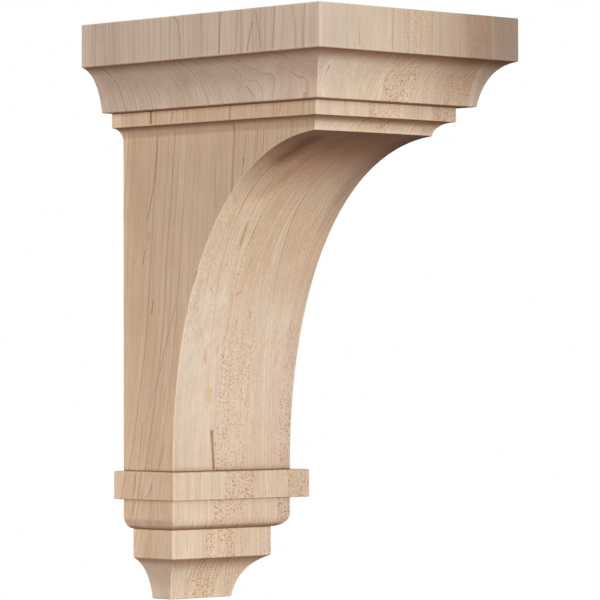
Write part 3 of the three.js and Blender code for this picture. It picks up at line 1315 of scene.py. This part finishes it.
@dataclass(frozen=True)
class Maple:
    """Bare sanded maple, glued up from upright boards."""

    boards: tuple[Board, ...] = BOARDS
    marks: tuple[Mark, ...] = MARKS
    painted_light_zones: tuple[Zone, ...] = PAINTED_LIGHT_ZONES
    line_tint: Colour = (0.68, 0.50, 0.39)
    fleck_tint: Colour = (0.72, 0.54, 0.42)
    pore_tint: Colour = (0.80, 0.69, 0.60)
    end_grain_and_under_shade_tint: Colour = (0.455, 0.28, 0.205)
    nook_burn_and_shade_tint: Colour = (0.38, 0.23, 0.15)
    painted_edge_highlight_tint: Colour = (1.16, 1.15, 1.12)
    grain_hue: Colour = (0.85, 1.12, 1.40)
    fibre_depth: float = 0.48
    band_depth: float = 0.30
    ring_depth: float = 0.045
    curl_depth: float = 0.16
    pore_depth: float = 0.5
    stain_stray: float = 2.4
    roughness: float = 0.58
    gloss: float = 0.35

    def build(self) -> bpy.types.Material:
        """Build the material.

        Returns:
            The material, which reads the piece's place, its turn and its marked edges.
        """
        material = bpy.data.materials.new("sanded maple")
        material.use_nodes = True
        bench = Bench(material.node_tree)
        groups = WoodGroups()
        at = self.read(bench, groups)
        colour = self.ground(bench, at)
        layers = (
            (self.line_tint, at.lines),
            (self.fleck_tint, at.fleck),
            (self.pore_tint, at.fibre.out("Pore") * self.pore_depth),
            # End grain's own darkness, with painted shade: far stronger on faces that look down than on
            # those that look up
            (self.end_grain_and_under_shade_tint, at.end),
            # Painted shade and burn marks in the inner corners
            (self.nook_burn_and_shade_tint, at.nook),
            # Painted highlight along the outer edges, strongest on the upright ones
            (self.painted_edge_highlight_tint, at.arris),
        )
        for tint, share in layers:
            colour = bench.tint(colour, tint, share)
        colour = self.stain(bench, groups.mark(), at, colour)

        shader = material.node_tree.nodes["Principled BSDF"]
        shader.inputs["Specular IOR Level"].default_value = self.gloss
        roughness = at.fibre * 0.12 + at.growth * 0.06 + at.end * 0.12 - at.arris * 0.06 + self.roughness
        relief = at.fibre * 0.6 - at.fibre.out("Pore") * 0.4 - at.lines * 0.5
        bump = bench.add("ShaderNodeBump", {"Height": relief, "Strength": 0.25, "Distance": 0.06 * MM})
        feed(bench.tree, shader.inputs["Base Color"], colour)
        feed(bench.tree, shader.inputs["Roughness"], roughness)
        feed(bench.tree, shader.inputs["Normal"], bump)
        return material

    def read(self, bench: Bench, groups: WoodGroups) -> Reading:
        """Read where a point is, how it faces, its board, its figure and its edges.

        Args:
            bench: The material's tree.
            groups: The wood's node groups.

        Returns:
            The reading.
        """
        body = bench.add("ShaderNodeTexCoord")
        place = body.out("Object").vector_maths("SCALE", 1.0 / MM)
        spot = bench.split(place)
        facing = bench.split(body.out("Normal"))
        up = facing.out("Z")
        sideways = facing.out("X").size().smooth(0.45, 0.8)
        under = up.smooth(-0.2, -0.7)
        faces = {
            Faces.ALL: 1.0,
            Faces.SIDES: sideways,
            Faces.FRONT: 1.0 - sideways,
            Faces.UNDER: under,
            Faces.SIDE_COVES: sideways * up.smooth(-0.1, -0.45),
        }

        board = bench.group(groups.lay_up(self.boards), {"Across": spot.out("X")})
        figure = bench.split(board.out("Figure"))
        habit = bench.split(board.out("Habit"))
        side = bench.split(board.out("Side Figure"))
        seed = habit.out("Z")
        wander = figure.out("Y") * (1.0 + within(spot, WILD) * 3.5)
        inputs = {"Place": place, "Heart": board.out("Heart"), "Wander": wander, "Lean": habit.out("Y")}
        growth = bench.group(groups.growth(), {**inputs, "Seed": seed})
        inputs = {"Radius": growth.out("Radius"), "Round": growth.out("Round"), "Height": spot.out("Z")}
        rays = bench.group(groups.rays(), {**inputs, "Seed": seed})
        fibre = bench.group(groups.fibre(), {"Place": place, "Seed": seed})

        flecked = sum(within(spot, limits, amount) for amount, limits in FLECKED)
        lined = bench.blend("FLOAT", sideways, figure.out("X") * (1.0 + under * 2.8), side.out("X"))
        carved = facing.out("Y").smooth(0.9, 0.5) * up.size().smooth(0.995, 0.97)
        return Reading(
            place=place,
            spot=spot,
            normal=body.out("Normal"),
            sideways=sideways,
            faces=faces,
            board=board,
            side=side,
            growth=growth,
            lines=growth * lined,
            fleck=rays * figure.out("Z") * flecked * (1.0 - sideways * 0.85),
            fibre=fibre,
            curl=fibre.out("Curl") * habit.out("X"),
            # End grain, darker on its own, with painted shade: faces looking down take it in full, faces
            # looking up only a little
            end=up.smooth(-0.60, -0.985) + up.smooth(0.8, 1.0) * 0.3,
            # Painted shade and burn marks in the inner corners
            nook=(self.edge(bench, "nook") * carved).smooth(0.0, 0.75),
            # Painted highlight along the outer edges, strongest on the upright ones
            arris=self.edge(bench, "arris") * carved,
        )

    def ground(self, bench: Bench, at: Reading) -> Wire:
        """Mix the boards' own colours with their fibres, bands and curl, with the painted light along the
        sides, and with the zones of painted light and shade on the block.

        Args:
            bench: The material's tree.
            at: The reading.

        Returns:
            The colour.
        """
        colour = bench.blend("RGBA", at.sideways, at.board, at.board.out("Side Tone"))
        # Painted light: sideways faces are painted paler or darker towards the front, as the light fell on
        # them
        side_light_drift = 1.0 - at.sideways * at.spot.out("Y") * at.side.out("Y") * 0.01
        grain = at.fibre * self.fibre_depth + at.growth.out("Ring Tone") * self.ring_depth
        grain = grain + at.curl * self.curl_depth + at.fibre.out("Band") * self.band_depth
        grain = grain.vector_maths("MULTIPLY", self.grain_hue).vector_maths("ADD", (1.0, 1.0, 1.0))
        colour = colour.vector_maths("SCALE", side_light_drift).vector_maths("MULTIPLY", grain)
        # Each zone paints light or shade onto the colour
        for zone in self.painted_light_zones:
            colour = bench.tint(colour, zone.tint, within(at.spot, zone.limits, at.faces[zone.faces]))
        return colour

    def edge(self, bench: Bench, name: str) -> Wire:
        """Read one of the piece's marked edges."""
        return bench.add("ShaderNodeAttribute", {}, attribute_name=name).out("Fac")

    def stain(self, bench: Bench, group: bpy.types.NodeTree, at: Reading, colour: Wire) -> Wire:
        """Put the marks into the colour, one stain after another.

        Args:
            bench: The material's tree.
            group: The group of a stretch of a mark.
            at: The reading.
            colour: The colour without marks.

        Returns:
            The colour with them.
        """
        unsteady = bench.add("ShaderNodeTexNoise", {"Vector": at.place, "Scale": 0.05, "Detail": 2.0})
        shift = unsteady.out("Color").vector_maths("SUBTRACT", (0.5, 0.5, 0.5))
        strayed = at.place.vector_maths("ADD", shift.vector_maths("SCALE", self.stain_stray))
        for stain in Stain:
            share = None
            for mark in (mark for mark in self.marks if mark.stain is stain):
                for start, end in zip(mark.path, mark.path[1:]):
                    inputs = {"Place": strayed, "Facing": at.normal, "From": start, "To": end}
                    mask = bench.group(group, {**inputs, "Half Width": mark.half_width}) * mark.strength
                    share = mask if share is None else share.maths("MAXIMUM", mask)
            colour = bench.tint(colour, stain.value, share)
        return colour


# The studio and the camera


def direction(azimuth: float, elevation: float) -> Vector:
    """Find a direction seen from the corbel.

    Args:
        azimuth: The angle round it from the front, in degrees.
        elevation: The angle above it, in degrees.

    Returns:
        The direction, of length 1.
    """
    across = math.radians(azimuth)
    rise = math.radians(elevation)
    return Vector((math.sin(across) * math.cos(rise), -math.cos(across) * math.cos(rise), math.sin(rise)))


@dataclass(frozen=True)
class Lamp:
    """A soft, far light."""

    name: str
    azimuth: float
    elevation: float
    strength: float
    softness: float
    distance: float = 3000.0

    def build(self) -> None:
        """Hang the light so that it shines at the corbel."""
        lamp = bpy.data.lights.new(self.name, "SUN")
        lamp.energy = self.strength
        lamp.angle = math.radians(self.softness)
        hung = bpy.data.objects.new(self.name, lamp)
        out = direction(self.azimuth, self.elevation)
        hung.location = out * self.distance * MM
        hung.rotation_euler = out.to_track_quat("Z", "Y").to_euler()
        bpy.context.scene.collection.objects.link(hung)


@dataclass(frozen=True)
class Studio:
    """A plain pale floor well below the corbel, a white surround and soft light level with it."""

    floor_level: float = -1500.0
    floor_half_size: float = 1600.0
    floor_tone: float = 0.72
    floor_roughness: float = 0.9
    horizon: float = 0.715
    horizon_reach: float = 0.45
    below: float = 0.35
    lamps: tuple[Lamp, ...] = (
        Lamp("right front light", azimuth=45, elevation=-3, strength=1.38, softness=36),
        Lamp("front light", azimuth=-5, elevation=-3, strength=0.72, softness=36),
        Lamp("left front light", azimuth=-60, elevation=2, strength=0.98, softness=40),
        Lamp("left light", azimuth=-75, elevation=0, strength=0.66, softness=40),
        Lamp("top light", azimuth=0, elevation=88, strength=1.4, softness=36),
        Lamp("back light", azimuth=150, elevation=12, strength=1.3, softness=36),
    )

    def build(self) -> None:
        """Build the floor, the surround and the lights."""
        self.build_floor()
        self.build_surround()
        for lamp in self.lamps:
            lamp.build()
        bpy.context.scene.view_settings.view_transform = "Standard"

    def build_floor(self) -> None:
        """Lay the floor."""
        half = self.floor_half_size * MM
        level = self.floor_level * MM
        mesh = bpy.data.meshes.new("floor")
        corners = [(-half, -half, level), (half, -half, level), (half, half, level), (-half, half, level)]
        mesh.from_pydata(corners, [], [(0, 1, 2, 3)])
        paint = bpy.data.materials.new("pale floor")
        paint.use_nodes = True
        shader = paint.node_tree.nodes["Principled BSDF"]
        shader.inputs["Base Color"].default_value = (self.floor_tone, self.floor_tone, self.floor_tone, 1.0)
        shader.inputs["Roughness"].default_value = self.floor_roughness
        mesh.materials.append(paint)
        floor = bpy.data.objects.new("floor", mesh)
        bpy.context.scene.collection.objects.link(floor)

    def build_surround(self) -> None:
        """Light the corbel softly from all round, level with it, before a white backdrop."""
        world = bpy.data.worlds.new("studio")
        world.use_nodes = True
        bench = Bench(world.node_tree)
        bench.tree.nodes.clear()
        rise = bench.split(bench.add("ShaderNodeTexCoord").out("Generated")).out("Z")
        above = rise.smooth(-0.1, 0.1) * (1.0 - self.below) + self.below
        light = rise.size().smooth(self.horizon_reach, 0.0) * above * self.horizon
        seen = bench.add("ShaderNodeLightPath").out("Is Camera Ray")
        strength = bench.blend("FLOAT", seen, light, 1.0)
        inputs = {"Color": (1.0, 1.0, 1.0, 1.0), "Strength": strength}
        bench.end("ShaderNodeOutputWorld", {"Surface": bench.add("ShaderNodeBackground", inputs)})
        bpy.context.scene.world = world


@dataclass(frozen=True)
class Viewpoint:
    """The photograph's viewpoint, in millimetres and degrees."""

    target: tuple[float, float, float] = (14.65, -100.0, 8.61)
    azimuth: float = -43.171
    elevation: float = -0.937
    distance: float = 2547.2
    roll: float = 0.093
    lens: float = 231.79
    sensor: float = 36.0
    reach: float = 24000.0

    def build(self) -> None:
        """Set up the camera."""
        back = direction(self.azimuth, self.elevation)
        lens = bpy.data.cameras.new("camera")
        lens.lens = self.lens
        lens.sensor_width = self.sensor
        lens.clip_end = self.reach * MM
        camera = bpy.data.objects.new("camera", lens)
        place = Matrix.Translation((Vector(self.target) + back * self.distance) * MM)
        turn = back.to_track_quat("Z", "Y").to_matrix().to_4x4()
        camera.matrix_world = place @ turn @ Matrix.Rotation(math.radians(-self.roll), 4, "Z")
        bpy.context.scene.collection.objects.link(camera)
        bpy.context.scene.camera = camera


def main() -> None:
    """Build the corbel, its studio and its camera."""
    logging.basicConfig(level=logging.INFO, format="%(name)s: %(message)s")
    Viewpoint().build()
    Studio().build()
    corbel = Corbel()
    piece = corbel.build(Maple().build())
    corbel.dress(piece)
    LOG.info("%s has %d faces", piece.name, len(piece.data.polygons))


if __name__ == "__main__":
    main()
